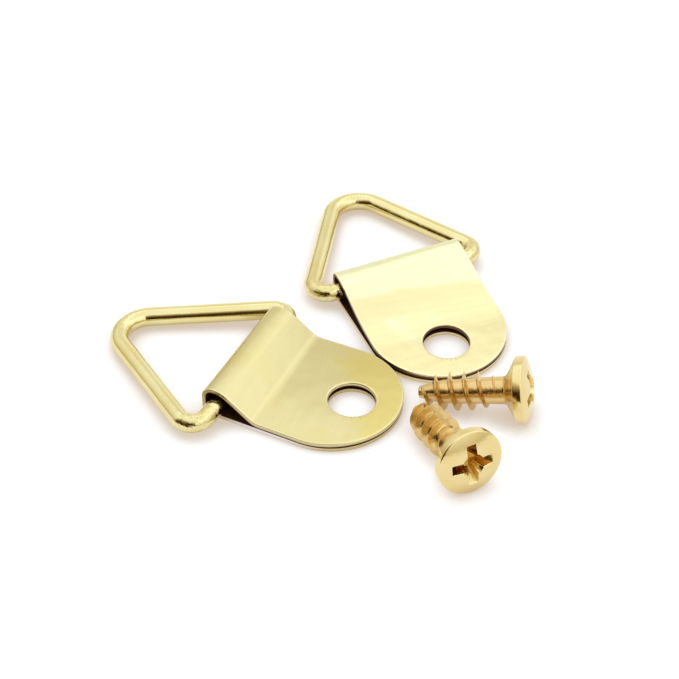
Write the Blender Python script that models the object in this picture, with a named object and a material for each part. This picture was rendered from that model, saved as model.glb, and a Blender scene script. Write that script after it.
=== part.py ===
"""Two triangle picture hangers and their two screws, lying together as a set.

Each hanger is a strap of thin plated sheet, folded over the straight side of a wire triangle.
The fold is the hinge. The strap's two leaves share one screw hole.
Metres, +Z up. The set rests on z = 0 and is centred on the world origin.
"""
from math import asin, atan2, cos, hypot, pi, radians, sin, sqrt, tan

import bmesh
import bpy
from mathutils import Matrix, Vector

# Strap: a folded sheet with a round end, measured from the outside of its fold
SHEET_THICKNESS = 0.00045
STRAP_WIDTH = 0.01473
ROUND_END_RADIUS = 0.0075
ROUND_END_CENTRE = 0.01117
HOLE_DIAMETER = 0.005
HOLE_CENTRE = 0.01354
FOLD_RADIUS = 0.0011
SHOULDER_RADIUS = 0.0012

# Ring: a wire bent to a triangle, with the sides meeting at sharp corners before rounding
WIRE_DIAMETER = 0.0021
RING_HEIGHT = 0.0184
RING_BASE_CORNER_RADIUS = 0.0016
RING_APEX_RADIUS = 0.0032
WIRE_END_GAP = 0.0003

# Fit of the ring in the fold
WIRE_REST_CLEARANCE = 0.0002
WIRE_FOLD_CLEARANCE = 0.0002

# Left hanger, pressed shut with a sharp crease
LEFT_PLACE = Vector((-0.01087, -0.00486, 0))
LEFT_TURN = radians(-26.3)
LEFT_LEAF_GAP = 0.00008
LEFT_CREASE_NEAR = 0.0061
LEFT_CREASE_FAR = 0.0056
LEFT_CREASE_RADIUS = 0.001
LEFT_HEADROOM_NEAR = 0.00045
LEFT_HEADROOM_FAR = 0.00045
LEFT_SLOPE_CLEARANCE = 0.00032
LEFT_RING_BASE = 0.0223
LEFT_RING_LEAN = 0.00042
LEFT_BEND_INSIDE = 0.00012
LEFT_RING_SKEW = radians(-1.58)

# Right hanger, closed more gently
RIGHT_PLACE = Vector((0.00601, 0.01065, 0))
RIGHT_TURN = radians(-66.6)
RIGHT_LEAF_GAP = 0.0005
RIGHT_CREASE_NEAR = 0.0087
RIGHT_CREASE_FAR = 0.0103
RIGHT_CREASE_RADIUS = 0.012
RIGHT_HEADROOM_NEAR = 0.0002
RIGHT_HEADROOM_FAR = 0.00045
RIGHT_SLOPE_CLEARANCE = 0.00027
RIGHT_RING_BASE = 0.0212
RIGHT_RING_LEAN = 0.0003
RIGHT_BEND_INSIDE = -0.00025
RIGHT_RING_SKEW = radians(-1.32)

# Screw: raised countersunk head, coarse thread that runs out before the head, tapered tip
HEAD_DIAMETER = 0.00705
HEAD_DOME_HEIGHT = 0.0007
HEAD_RIM_HEIGHT = 0.0009
HEAD_CONE_HEIGHT = 0.00115
NECK_DIAMETER = 0.0029
CORE_DIAMETER = 0.0024
SHANK_LENGTH = 0.0103
TIP_TAPER_LENGTH = 0.0024
TIP_DIAMETER = 0.0012
THREAD_DIAMETER = 0.004
THREAD_PITCH = 0.0015
THREAD_BASE_WIDTH = 0.0009
THREAD_ROOT_DEPTH = 0.0002
THREAD_RUN_OUT = 0.0024
THREAD_TO_HEAD = 0.0005
RECESS_SPAN = 0.0050
RECESS_WING_WIDTH = 0.0011
RECESS_DEPTH = 0.0019
RECESS_FLOOR_SPAN = 0.0014
RECESS_FLOOR_WIDTH = 0.0006

# Where the screws lie: the ground below each tip, and which way the shank runs from there
FRONT_SCREW_TIP = Vector((0.00794, -0.01271, 0))
FRONT_SCREW_TURN = radians(-63.5)
FRONT_SCREW_ROLL = radians(0)
REAR_SCREW_TIP = Vector((0.00823, -0.01, 0))
REAR_SCREW_TURN = radians(-10.4)
REAR_SCREW_ROLL = radians(180)

# How far a cutter reaches past what it cuts
OVERRUN = 0.001

# Facets
FOLD_STEPS = 6
SHOULDER_STEPS = 4
CREASE_STEPS = 6
ROUND_END_STEPS = 40
HOLE_STEPS = 40
RING_CORNER_STEPS = 8
WIRE_BEVEL_RESOLUTION = 4
TURNED_STEPS = 32
DOME_STEPS = 5
THREAD_STEPS_PER_TURN = 20
SHARP_EDGE_ANGLE = radians(30)

# Colours, linear
SATIN_BRASS = (0.88, 0.79, 0.41, 1)
WIRE_BRASS = (0.86, 0.75, 0.37, 1)
SCREW_BRASS = (0.86, 0.68, 0.31, 1)
SATIN_ROUGHNESS = 0.32
WIRE_ROUGHNESS = 0.26
SCREW_ROUGHNESS = 0.22

WIRE_RADIUS = WIRE_DIAMETER / 2


def clear_scene():
    for obj in list(bpy.data.objects):
        bpy.data.objects.remove(obj, do_unlink=True)


def metal(name, colour, roughness):
    material = bpy.data.materials.new(name)
    material.use_nodes = True
    shader = material.node_tree.nodes["Principled BSDF"]
    shader.inputs["Base Color"].default_value = colour
    shader.inputs["Metallic"].default_value = 1
    shader.inputs["Roughness"].default_value = roughness
    return material


def empty(name, location, turn, parent=None):
    obj = bpy.data.objects.new(name, None)
    bpy.context.collection.objects.link(obj)
    obj.parent = parent
    obj.location = location
    obj.rotation_euler = (0, 0, turn)
    return obj


def mesh_object(name, points, faces, parent=None):
    """A mesh object made of points and of faces, which hold indices of points."""
    mesh = bpy.data.meshes.new(name)
    mesh.from_pydata(points, [], faces)
    bm = bmesh.new()
    bm.from_mesh(mesh)
    bmesh.ops.recalc_face_normals(bm, faces=bm.faces)
    bm.to_mesh(mesh)
    bm.free()
    obj = bpy.data.objects.new(name, mesh)
    bpy.context.collection.objects.link(obj)
    obj.parent = parent
    return obj


def smooth(obj):
    obj.data.shade_smooth()
    obj.data.set_sharp_from_angle(angle=SHARP_EDGE_ANGLE)


def boolean(obj, operation, other):
    """Join, cut or intersect obj with another object, which stays hidden as a guide."""
    other.hide_render = True
    other.display_type = "WIRE"
    modifier = obj.modifiers.new(other.name, "BOOLEAN")
    modifier.operation = operation
    modifier.solver = "EXACT"
    modifier.object = other


def left_of(direction):
    return Vector((-direction.y, direction.x))


def rounded_path(corners, radii, steps):
    """Points along a plane line with rounded inner corners, each with its left-hand normal."""
    directions = [(after - before).normalized() for before, after in zip(corners, corners[1:])]
    stations = [(corners[0], left_of(directions[0]))]
    bends = zip(corners[1:], radii, steps, directions, directions[1:])
    for corner, radius, count, arriving, leaving in bends:
        turn = atan2(arriving.cross(leaving), arriving.dot(leaving))
        inward = radius if turn > 0 else -radius
        start = corner - arriving * radius * tan(abs(turn) / 2)
        centre = start + left_of(arriving) * inward
        for step in range(count + 1):
            normal = Matrix.Rotation(turn * step / count, 2) @ left_of(arriving)
            stations.append((centre - normal * inward, normal))
    stations.append((corners[-1], left_of(directions[-1])))
    return stations


def prism(name, outline, bottom, top, parent):
    """A closed body with the same plane outline at both heights."""
    count = len(outline)
    points = [(x, y, z) for z in (bottom, top) for x, y in outline]
    sides = [(i, (i + 1) % count, count + (i + 1) % count, count + i) for i in range(count)]
    caps = [tuple(range(count)), tuple(range(count, 2 * count))]
    return mesh_object(name, points, sides + caps, parent)


def circle(centre, radius, steps):
    angles = [2 * pi * step / steps for step in range(steps)]
    return [(centre + radius * cos(angle), radius * sin(angle)) for angle in angles]


def hinge_place(shift, skew):
    """Where the ring's straight side lies in the fold, with room for it to lie askew."""
    askew = STRAP_WIDTH / 2 * abs(tan(skew))
    from_fold = SHEET_THICKNESS + WIRE_FOLD_CLEARANCE + askew + WIRE_RADIUS
    height = SHEET_THICKNESS + WIRE_REST_CLEARANCE + WIRE_RADIUS
    return Vector((from_fold, shift, height))


def fold_height(headroom):
    """The fold takes two leaves of sheet and the wire, with room above it."""
    return 2 * SHEET_THICKNESS + WIRE_DIAMETER + WIRE_REST_CLEARANCE + headroom


def strap_side(hinge, crease, headroom, leaf_gap, crease_radius, slope_clearance):
    """The strap's outline seen along the fold: outer face first, then back along the inner face.

    The slope from the fold down to the crease is tangent to a circle round the wire.
    """
    height = fold_height(headroom)
    leaf_top = 2 * SHEET_THICKNESS + leaf_gap
    end = ROUND_END_CENTRE + ROUND_END_RADIUS + OVERRUN
    to_wire = Vector((hinge.x - crease, hinge.z - leaf_top))
    circle_radius = WIRE_RADIUS + slope_clearance + SHEET_THICKNESS
    slope = pi - atan2(to_wire.y, to_wire.x) + asin(circle_radius / to_wire.length)
    shoulder = crease - (height - leaf_top) / tan(slope)
    corners = [
        Vector((end, 0)),
        Vector((0, 0)),
        Vector((0, height)),
        Vector((shoulder, height)),
        Vector((crease, leaf_top)),
        Vector((end, leaf_top)),
    ]
    radii = [FOLD_RADIUS, FOLD_RADIUS, SHOULDER_RADIUS, crease_radius]
    steps = [FOLD_STEPS, FOLD_STEPS, SHOULDER_STEPS, CREASE_STEPS]
    stations = rounded_path(corners, radii, steps)
    outer = [point for point, normal in stations]
    inner = [point - normal * SHEET_THICKNESS for point, normal in stations]
    return outer + inner[::-1]


def strap_plan():
    """The strap seen from above: straight sides that run tangent into the round end."""
    half_width = STRAP_WIDTH / 2
    side_length = hypot(ROUND_END_CENTRE, half_width)
    tangent = atan2(half_width, ROUND_END_CENTRE) - asin(ROUND_END_RADIUS / side_length)
    first = pi / 2 - tangent
    sweep = [first - 2 * first * step / ROUND_END_STEPS for step in range(ROUND_END_STEPS + 1)]
    end = [(ROUND_END_CENTRE + ROUND_END_RADIUS * cos(a), ROUND_END_RADIUS * sin(a)) for a in sweep]
    return [(-OVERRUN, half_width), (0, half_width), *end, (0, -half_width), (-OVERRUN, -half_width)]


def make_strap(name, hanger, hinge, creases, headrooms, leaves, material):
    """The sheet is lofted between its two sides, then cut to its plan and drilled.

    The leaves are the gap between them, the crease's radius and the slope's clearance.
    """
    half_blank = STRAP_WIDTH / 2 + OVERRUN
    near = [(x, -half_blank, z) for x, z in strap_side(hinge, creases[0], headrooms[0], *leaves)]
    far = [(x, half_blank, z) for x, z in strap_side(hinge, creases[1], headrooms[1], *leaves)]
    count = len(near)
    walls = [(i, (i + 1) % count, count + (i + 1) % count, count + i) for i in range(count)]
    caps = [tuple(range(count)), tuple(range(count, 2 * count))]
    strap = mesh_object(name, near + far, walls + caps, hanger)
    bottom = -OVERRUN
    top = fold_height(max(headrooms)) + OVERRUN
    boolean(strap, "INTERSECT", prism(name + "_plan", strap_plan(), bottom, top, hanger))
    hole = circle(HOLE_CENTRE, HOLE_DIAMETER / 2, HOLE_STEPS)
    boolean(strap, "DIFFERENCE", prism(name + "_hole", hole, bottom, top, hanger))
    smooth(strap)
    strap.data.materials.append(material)


def ring_reach(base, lean):
    """From the ring's axis to the middle of the wire at the rounded apex."""
    near_angle = atan2(base / 2 + lean, RING_HEIGHT)
    far_angle = atan2(base / 2 - lean, RING_HEIGHT)
    to_centre = RING_APEX_RADIUS / sin((near_angle + far_angle) / 2)
    return RING_HEIGHT - to_centre * cos((near_angle - far_angle) / 2) + RING_APEX_RADIUS


def ring_shift(base, lean, bend_inside):
    """The ring lies slid along the fold, with its far bend this far inside the strap's edge."""
    corner_angle = atan2(RING_HEIGHT, base / 2 - lean)
    bend_start = base / 2 - RING_BASE_CORNER_RADIUS / tan(corner_angle / 2)
    return STRAP_WIDTH / 2 - bend_inside - bend_start


def make_ring(name, hanger, hinge, base, lean, skew, material):
    """The wire starts and ends inside the fold. Its apex lies on the ground, a little off the middle."""
    half_base = base / 2
    half_gap = WIRE_END_GAP / 2
    corners = [
        Vector((0, -half_gap)),
        Vector((0, -half_base)),
        Vector((-RING_HEIGHT, lean)),
        Vector((0, half_base)),
        Vector((0, half_gap)),
    ]
    radii = [RING_BASE_CORNER_RADIUS, RING_APEX_RADIUS, RING_BASE_CORNER_RADIUS]
    stations = rounded_path(corners, radii, [RING_CORNER_STEPS] * len(radii))
    curve = bpy.data.curves.new(name, "CURVE")
    curve.dimensions = "3D"
    curve.twist_mode = "Z_UP"
    curve.bevel_depth = WIRE_RADIUS
    curve.bevel_resolution = WIRE_BEVEL_RESOLUTION
    curve.use_fill_caps = True
    spline = curve.splines.new("POLY")
    spline.points.add(len(stations) - 1)
    for point, (station, normal) in zip(spline.points, stations):
        point.co = (station.x, station.y, 0, 1)
    spline.use_smooth = True
    ring = bpy.data.objects.new(name, curve)
    bpy.context.collection.objects.link(ring)
    ring.parent = hanger
    ring.location = hinge
    droop = asin((hinge.z - WIRE_RADIUS) / ring_reach(base, lean))
    ring.rotation_euler = (0, -droop, skew)
    curve.materials.append(material)


def make_left_hanger(root, strap_metal, ring_metal):
    hanger = empty("left_hanger", LEFT_PLACE, LEFT_TURN, root)
    shift = ring_shift(LEFT_RING_BASE, LEFT_RING_LEAN, LEFT_BEND_INSIDE)
    hinge = hinge_place(shift, LEFT_RING_SKEW)
    creases = (LEFT_CREASE_NEAR, LEFT_CREASE_FAR)
    headrooms = (LEFT_HEADROOM_NEAR, LEFT_HEADROOM_FAR)
    leaves = (LEFT_LEAF_GAP, LEFT_CREASE_RADIUS, LEFT_SLOPE_CLEARANCE)
    make_strap("left_strap", hanger, hinge, creases, headrooms, leaves, strap_metal)
    ring = (LEFT_RING_BASE, LEFT_RING_LEAN, LEFT_RING_SKEW)
    make_ring("left_ring", hanger, hinge, *ring, ring_metal)


def make_right_hanger(root, strap_metal, ring_metal):
    hanger = empty("right_hanger", RIGHT_PLACE, RIGHT_TURN, root)
    shift = ring_shift(RIGHT_RING_BASE, RIGHT_RING_LEAN, RIGHT_BEND_INSIDE)
    hinge = hinge_place(shift, RIGHT_RING_SKEW)
    creases = (RIGHT_CREASE_NEAR, RIGHT_CREASE_FAR)
    headrooms = (RIGHT_HEADROOM_NEAR, RIGHT_HEADROOM_FAR)
    leaves = (RIGHT_LEAF_GAP, RIGHT_CREASE_RADIUS, RIGHT_SLOPE_CLEARANCE)
    make_strap("right_strap", hanger, hinge, creases, headrooms, leaves, strap_metal)
    ring = (RIGHT_RING_BASE, RIGHT_RING_LEAN, RIGHT_RING_SKEW)
    make_ring("right_ring", hanger, hinge, *ring, ring_metal)


def turned_profile():
    """Half outline of the screw without its thread, from the dome's top down to the tip.

    The screw's own origin is on its axis, level with the lower edge of the head's rim.
    """
    head_radius = HEAD_DIAMETER / 2
    dome_radius = (head_radius ** 2 + HEAD_DOME_HEIGHT ** 2) / (2 * HEAD_DOME_HEIGHT)
    dome_centre = HEAD_RIM_HEIGHT + HEAD_DOME_HEIGHT - dome_radius
    half_angle = asin(head_radius / dome_radius)
    dome = []
    for step in range(DOME_STEPS + 1):
        angle = half_angle * step / DOME_STEPS
        dome.append((dome_radius * sin(angle), dome_centre + dome_radius * cos(angle)))
    shank = [
        (head_radius, 0),
        (NECK_DIAMETER / 2, -HEAD_CONE_HEIGHT),
        (CORE_DIAMETER / 2, -SHANK_LENGTH + TIP_TAPER_LENGTH),
        (TIP_DIAMETER / 2, -SHANK_LENGTH),
        (0, -SHANK_LENGTH),
    ]
    return dome + shank


def turned_body(name, parent):
    profile = turned_profile()
    rings = profile[1:-1]
    points = [(0, 0, profile[0][1])]
    for radius, height in rings:
        for step in range(TURNED_STEPS):
            angle = 2 * pi * step / TURNED_STEPS
            points.append((radius * cos(angle), radius * sin(angle), height))
    points.append((0, 0, profile[-1][1]))
    last = len(points) - 1
    first_of_last = last - TURNED_STEPS
    faces = []
    for step in range(TURNED_STEPS):
        following = (step + 1) % TURNED_STEPS
        faces.append((0, 1 + step, 1 + following))
        faces.append((last, first_of_last + following, first_of_last + step))
        for ring in range(len(rings) - 1):
            upper = 1 + ring * TURNED_STEPS
            lower = upper + TURNED_STEPS
            faces.append((upper + step, lower + step, lower + following, upper + following))
    return mesh_object(name, points, faces, parent)


def core_radius_at(height):
    """The shank's radius below the cone, tapered over the tip."""
    taper_top = -SHANK_LENGTH + TIP_TAPER_LENGTH
    if height >= taper_top:
        along = (height - taper_top) / (-HEAD_CONE_HEIGHT - taper_top)
        return (CORE_DIAMETER + along * (NECK_DIAMETER - CORE_DIAMETER)) / 2
    along = (height + SHANK_LENGTH) / TIP_TAPER_LENGTH
    return (TIP_DIAMETER + along * (CORE_DIAMETER - TIP_DIAMETER)) / 2


def crest_radius_at(height):
    """The thread's outer radius: it rises over the tip and runs out towards the head."""
    sunk = core_radius_at(height) - THREAD_ROOT_DEPTH / 2
    thread_top = -HEAD_CONE_HEIGHT - THREAD_TO_HEAD
    thread_bottom = -SHANK_LENGTH + THREAD_BASE_WIDTH / 2
    rise = min(1, max(0, height - thread_bottom) / TIP_TAPER_LENGTH)
    fade = min(1, max(0, thread_top - height) / THREAD_RUN_OUT)
    return sunk + (THREAD_DIAMETER / 2 - sunk) * min(sqrt(rise), fade)


def thread(name, parent):
    """A ridge of triangular section along a helix, its foot sunk in the shank."""
    bottom = -SHANK_LENGTH + THREAD_BASE_WIDTH / 2
    top = -HEAD_CONE_HEIGHT - THREAD_TO_HEAD
    count = round((top - bottom) / THREAD_PITCH * THREAD_STEPS_PER_TURN)
    points = []
    for step in range(count + 1):
        height = bottom + (top - bottom) * step / count
        angle = 2 * pi * (height - bottom) / THREAD_PITCH
        foot = core_radius_at(height) - THREAD_ROOT_DEPTH
        section = (
            (foot, height - THREAD_BASE_WIDTH / 2),
            (crest_radius_at(height), height),
            (foot, height + THREAD_BASE_WIDTH / 2),
        )
        points += [(radius * cos(angle), radius * sin(angle), z) for radius, z in section]
    faces = [(0, 1, 2), (3 * count, 3 * count + 1, 3 * count + 2)]
    for step in range(count):
        for corner in range(3):
            following = (corner + 1) % 3
            low = 3 * step
            faces.append((low + corner, low + following, low + 3 + following, low + 3 + corner))
    return mesh_object(name, points, faces, parent)


def cross_outline(span, width):
    """A plus sign of four wings."""
    reach = span / 2
    half = width / 2
    quarter = [(half, half), (half, reach), (-half, reach)]
    outline = []
    for turn in range(4):
        for x, y in quarter:
            for quarter_turn in range(turn):
                x, y = -y, x
            outline.append((x, y))
    return outline


def recess(name, parent):
    """The cross recess narrows from the dome down to its floor."""
    crown = HEAD_RIM_HEIGHT + HEAD_DOME_HEIGHT
    floor = crown - RECESS_DEPTH
    steepness = OVERRUN / RECESS_DEPTH
    wide_span = RECESS_SPAN + steepness * (RECESS_SPAN - RECESS_FLOOR_SPAN)
    wide_width = RECESS_WING_WIDTH + steepness * (RECESS_WING_WIDTH - RECESS_FLOOR_WIDTH)
    points = [(x, y, crown + OVERRUN) for x, y in cross_outline(wide_span, wide_width)]
    points += [(x, y, floor) for x, y in cross_outline(RECESS_FLOOR_SPAN, RECESS_FLOOR_WIDTH)]
    count = len(points) // 2
    walls = [(i, (i + 1) % count, count + (i + 1) % count, count + i) for i in range(count)]
    caps = [tuple(range(count)), tuple(range(count, 2 * count))]
    return mesh_object(name, points, walls + caps, parent)


def make_screw(name, root, tip, turn, roll, material):
    """A screw that lies on its head's rim and on the last full turn of its thread."""
    head_radius = HEAD_DIAMETER / 2
    thread_reach = SHANK_LENGTH - TIP_TAPER_LENGTH
    tilt = atan2(head_radius - THREAD_DIAMETER / 2, thread_reach)
    screw = turned_body(name, root)
    rim = Vector((SHANK_LENGTH * cos(tilt), 0, head_radius * cos(tilt)))
    screw.matrix_local = (
        Matrix.Translation(tip)
        @ Matrix.Rotation(turn, 4, "Z")
        @ Matrix.Translation(rim)
        @ Matrix.Rotation(pi / 2 - tilt, 4, "Y")
        @ Matrix.Rotation(roll, 4, "Z")
    )
    boolean(screw, "UNION", thread(name + "_thread", screw))
    boolean(screw, "DIFFERENCE", recess(name + "_recess", screw))
    smooth(screw)
    screw.data.materials.append(material)


def centre_on_ground(root):
    """Move the set so that its bounding box stands on z = 0, centred on the origin."""
    bpy.context.view_layer.update()
    depsgraph = bpy.context.evaluated_depsgraph_get()
    corners = []
    for obj in bpy.data.objects:
        if obj.type in {"MESH", "CURVE"} and not obj.hide_render:
            seen = obj.evaluated_get(depsgraph)
            mesh = seen.to_mesh()
            corners += [seen.matrix_world @ vertex.co for vertex in mesh.vertices]
            seen.to_mesh_clear()
    lows = [min(corner[axis] for corner in corners) for axis in range(3)]
    highs = [max(corner[axis] for corner in corners) for axis in range(3)]
    root.location = (-(lows[0] + highs[0]) / 2, -(lows[1] + highs[1]) / 2, -lows[2])
    bpy.context.view_layer.update()


def main():
    clear_scene()
    root = empty("hanger_set", Vector((0, 0, 0)), 0)
    strap_metal = metal("satin_brass", SATIN_BRASS, SATIN_ROUGHNESS)
    ring_metal = metal("wire_brass", WIRE_BRASS, WIRE_ROUGHNESS)
    screw_metal = metal("screw_brass", SCREW_BRASS, SCREW_ROUGHNESS)
    make_left_hanger(root, strap_metal, ring_metal)
    make_right_hanger(root, strap_metal, ring_metal)
    front = (FRONT_SCREW_TIP, FRONT_SCREW_TURN, FRONT_SCREW_ROLL)
    rear = (REAR_SCREW_TIP, REAR_SCREW_TURN, REAR_SCREW_ROLL)
    make_screw("front_screw", root, *front, screw_metal)
    make_screw("rear_screw", root, *rear, screw_metal)
    centre_on_ground(root)


main()
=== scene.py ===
"""Two triangle picture hangers and the two screws that fasten them, plated in pale brass.

Metres, +Z up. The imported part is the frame; each of its six solids gets a finer piece in its place.
"""
from bisect import bisect_right
from math import asin, atan2, ceil, cos, hypot, inf, pi, radians, sin, sqrt, tan

import bmesh
import bpy
from mathutils import Euler, Matrix, Vector
from mathutils.geometry import delaunay_2d_cdt


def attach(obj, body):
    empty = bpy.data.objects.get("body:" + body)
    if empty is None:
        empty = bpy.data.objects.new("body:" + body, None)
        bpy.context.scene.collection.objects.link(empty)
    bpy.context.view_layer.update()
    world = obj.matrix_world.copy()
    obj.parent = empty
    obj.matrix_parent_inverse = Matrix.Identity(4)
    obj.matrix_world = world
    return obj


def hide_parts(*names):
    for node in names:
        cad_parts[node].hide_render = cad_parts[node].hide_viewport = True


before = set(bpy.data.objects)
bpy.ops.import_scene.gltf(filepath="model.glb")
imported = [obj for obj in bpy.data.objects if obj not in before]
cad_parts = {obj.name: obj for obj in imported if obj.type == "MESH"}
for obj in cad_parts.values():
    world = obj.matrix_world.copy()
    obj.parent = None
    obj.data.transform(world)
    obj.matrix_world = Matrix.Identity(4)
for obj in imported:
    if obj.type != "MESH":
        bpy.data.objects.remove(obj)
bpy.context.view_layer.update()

MM = 0.001
# Where the point that the set was measured from lies, once the set is centred on the origin
SET_CENTRE = Vector((0.0022599, -0.00000107, 0))

# Straps, as in the solids
SHEET_THICKNESS = 0.00045
STRAP_WIDTH = 0.01473
ROUND_END_RADIUS = 0.0075
ROUND_END_CENTRE = 0.01117
HOLE_DIAMETER = 0.005
HOLE_CENTRE = 0.01354
FOLD_RADIUS = 0.0011
BLANK_OVERRUN = 0.001

# Rings, as in the solids
WIRE_DIAMETER = 0.0021
RING_HEIGHT = 0.0184
RING_BASE_CORNER_RADIUS = 0.0016
RING_APEX_RADIUS = 0.0032
WIRE_END_GAP = 0.0003
WIRE_REST_CLEARANCE = 0.0002
WIRE_FOLD_CLEARANCE = 0.0002
WIRE_RADIUS = WIRE_DIAMETER / 2

# Shoulders and creases are softer than in the solids. The left hanger's upper leaf is crowned
# across; the right one's leans down to its round end.
LEFT_HANGER = {
    "name": "left",
    "place": Vector((-0.01087, -0.00486, 0)) + SET_CENTRE,
    "turn": radians(-26.3),
    "leaf_gap": 0.00008,
    "creases": (0.0061, 0.0056),
    "top_radius": 0.0013,
    "shoulder_radii": (0.0028, 0.0028),
    "crease_radius": 0.0017,
    "headrooms": (0.00045, 0.00045),
    "slope_clearance": 0.00032,
    "ring_base": 0.0223,
    "ring_lean": 0.00042,
    "bend_inside": 0.00012,
    "ring_skew": radians(-1.58),
    "crown": 0.00016,
    "near_drop": 0.00016,
    "droop": 0.0,
    # Shares of the sheet's depth over which the upper leaf's cut wall is torn and darkened by painted shade,
    # on the outline and in the upper hole
    "torn_and_shaded_edge": (0.80, 0.95),
    "torn_and_shaded_hole": (0.65, 0.80),
    "seed": 3,
}
RIGHT_HANGER = {
    "name": "right",
    "place": Vector((0.00601, 0.01065, 0)) + SET_CENTRE,
    "turn": radians(-66.6),
    "leaf_gap": 0.0005,
    "creases": (0.0087, 0.0103),
    "top_radius": 0.0010,
    "shoulder_radii": (0.0080, 0.0029),
    "crease_radius": 0.020,
    "headrooms": (0.0002, 0.00045),
    "slope_clearance": 0.00027,
    "ring_base": 0.0212,
    "ring_lean": 0.0003,
    "bend_inside": -0.00025,
    "ring_skew": radians(-1.32),
    "crown": 0.00003,
    "near_drop": 0.0,
    "droop": 0.048,
    # Shares of the sheet's depth over which the upper leaf's cut wall is torn and darkened by painted shade,
    # on the outline and in the upper hole
    "torn_and_shaded_edge": (0.30, 0.45),
    "torn_and_shaded_hole": (0.10, 0.30),
    "seed": 8,
}

# Screws, as in the solids
HEAD_DIAMETER = 0.00705
HEAD_DOME_HEIGHT = 0.0007
HEAD_RIM_HEIGHT = 0.0009
HEAD_CONE_HEIGHT = 0.00115
NECK_DIAMETER = 0.0029
CORE_DIAMETER = 0.0024
SHANK_LENGTH = 0.0103
TIP_TAPER_LENGTH = 0.0024
TIP_DIAMETER = 0.0012
THREAD_DIAMETER = 0.004
THREAD_PITCH = 0.0015
THREAD_BASE_WIDTH = 0.0009
THREAD_ROOT_DEPTH = 0.0002
THREAD_RUN_OUT = 0.0024
THREAD_TO_HEAD = 0.0005
RECESS_SPAN = 0.0050
RECESS_WING_WIDTH = 0.0011
RECESS_DEPTH = 0.0019
RECESS_FLOOR_WIDTH = 0.0006
HEAD_CROWN = HEAD_RIM_HEIGHT + HEAD_DOME_HEIGHT

FRONT_SCREW = {"name": "front", "tip": Vector((0.00794, -0.01271, 0)) + SET_CENTRE,
               "turn": radians(-63.5), "roll": radians(0)}
REAR_SCREW = {"name": "rear", "tip": Vector((0.00823, -0.01, 0)) + SET_CENTRE,
              "turn": radians(-10.4), "roll": radians(180)}

FLOAT, INT, VECTOR, COLOUR, GEOMETRY, MATERIAL = (
    "NodeSocketFloat", "NodeSocketInt", "NodeSocketVector", "NodeSocketColor",
    "NodeSocketGeometry", "NodeSocketMaterial")


# Helpers for node trees

def link(tree, socket, value):
    """Set an input socket to a value, or join it to another node's output."""
    if isinstance(value, bpy.types.NodeSocket):
        tree.links.new(value, socket)
    else:
        socket.default_value = value


def put(tree, kind, inputs=None, **settings):
    """Add a node, with its settings and its inputs by name or number."""
    node = tree.nodes.new(kind)
    for name, value in settings.items():
        setattr(node, name, value)
    for key, value in (inputs or {}).items():
        link(tree, node.inputs[key], value)
    return node


def made(tree, kind, inputs=None, **settings):
    """Add a node as put does, and take its first output."""
    return put(tree, kind, inputs, **settings).outputs[0]


def maths(tree, operation, *values, clamp=False):
    node = tree.nodes.new("ShaderNodeMath")
    node.operation = operation
    node.use_clamp = clamp
    for number, value in enumerate(values):
        link(tree, node.inputs[number], value)
    return node.outputs[0]


def times(tree, *values):
    return maths(tree, "MULTIPLY", *values)


def plus(tree, *values):
    return maths(tree, "ADD", *values)


def minus(tree, *values):
    return maths(tree, "SUBTRACT", *values)


def mapped(tree, value, low, high, to_low=0.0, to_high=1.0, kind="LINEAR"):
    """The value carried from one range to another and held within it."""
    node = put(tree, "ShaderNodeMapRange", {"Value": value, "From Min": low, "From Max": high,
                                            "To Min": to_low, "To Max": to_high})
    node.interpolation_type = kind
    return node.outputs["Result"]


def blended(tree, share, first, second, kind="MIX"):
    node = tree.nodes.new("ShaderNodeMix")
    node.data_type = "RGBA"
    node.blend_type = kind
    sockets = [socket for socket in node.inputs if socket.type == "RGBA"]
    link(tree, node.inputs[0], share)
    link(tree, sockets[0], first)
    link(tree, sockets[1], second)
    return next(socket for socket in node.outputs if socket.type == "RGBA")


def noise(tree, vector, scale, detail=3.0, roughness=0.5, distortion=0.0):
    node = put(tree, "ShaderNodeTexNoise", {"Vector": vector, "Scale": scale, "Detail": detail,
                                            "Roughness": roughness, "Distortion": distortion})
    return node.outputs["Fac"]


def combined(tree, x=0.0, y=0.0, z=0.0):
    return made(tree, "ShaderNodeCombineXYZ", {0: x, 1: y, 2: z})


def separated(tree, vector):
    return put(tree, "ShaderNodeSeparateXYZ", {0: vector}).outputs


def in_mm(tree, vector):
    return made(tree, "ShaderNodeVectorMath", {0: vector, 1: (1000, 1000, 1000)}, operation="MULTIPLY")


def new_tree(name, kind, inputs, outputs):
    """A node group whose sockets are given as (name, kind, value)."""
    tree = bpy.data.node_groups.new(name, kind)
    for label, socket_kind, value in inputs:
        socket = tree.interface.new_socket(label, in_out="INPUT", socket_type=socket_kind)
        if value is not None:
            socket.default_value = value
    for label, socket_kind in outputs:
        tree.interface.new_socket(label, in_out="OUTPUT", socket_type=socket_kind)
    return tree, tree.nodes.new("NodeGroupInput").outputs, tree.nodes.new("NodeGroupOutput").inputs


def carried(tree, name):
    """The outputs of an attribute that a piece's own points carry."""
    return put(tree, "ShaderNodeAttribute", attribute_name=name).outputs


def emptied(owner):
    """The node tree of a material or a world, with nothing in it yet."""
    owner.use_nodes = True
    owner.node_tree.nodes.clear()
    return owner.node_tree


def group(tree, shared, values):
    node = put(tree, "ShaderNodeGroup", node_tree=shared)
    for key, value in values.items():
        link(tree, node.inputs[key], value)
    return node.outputs


# Materials

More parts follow.
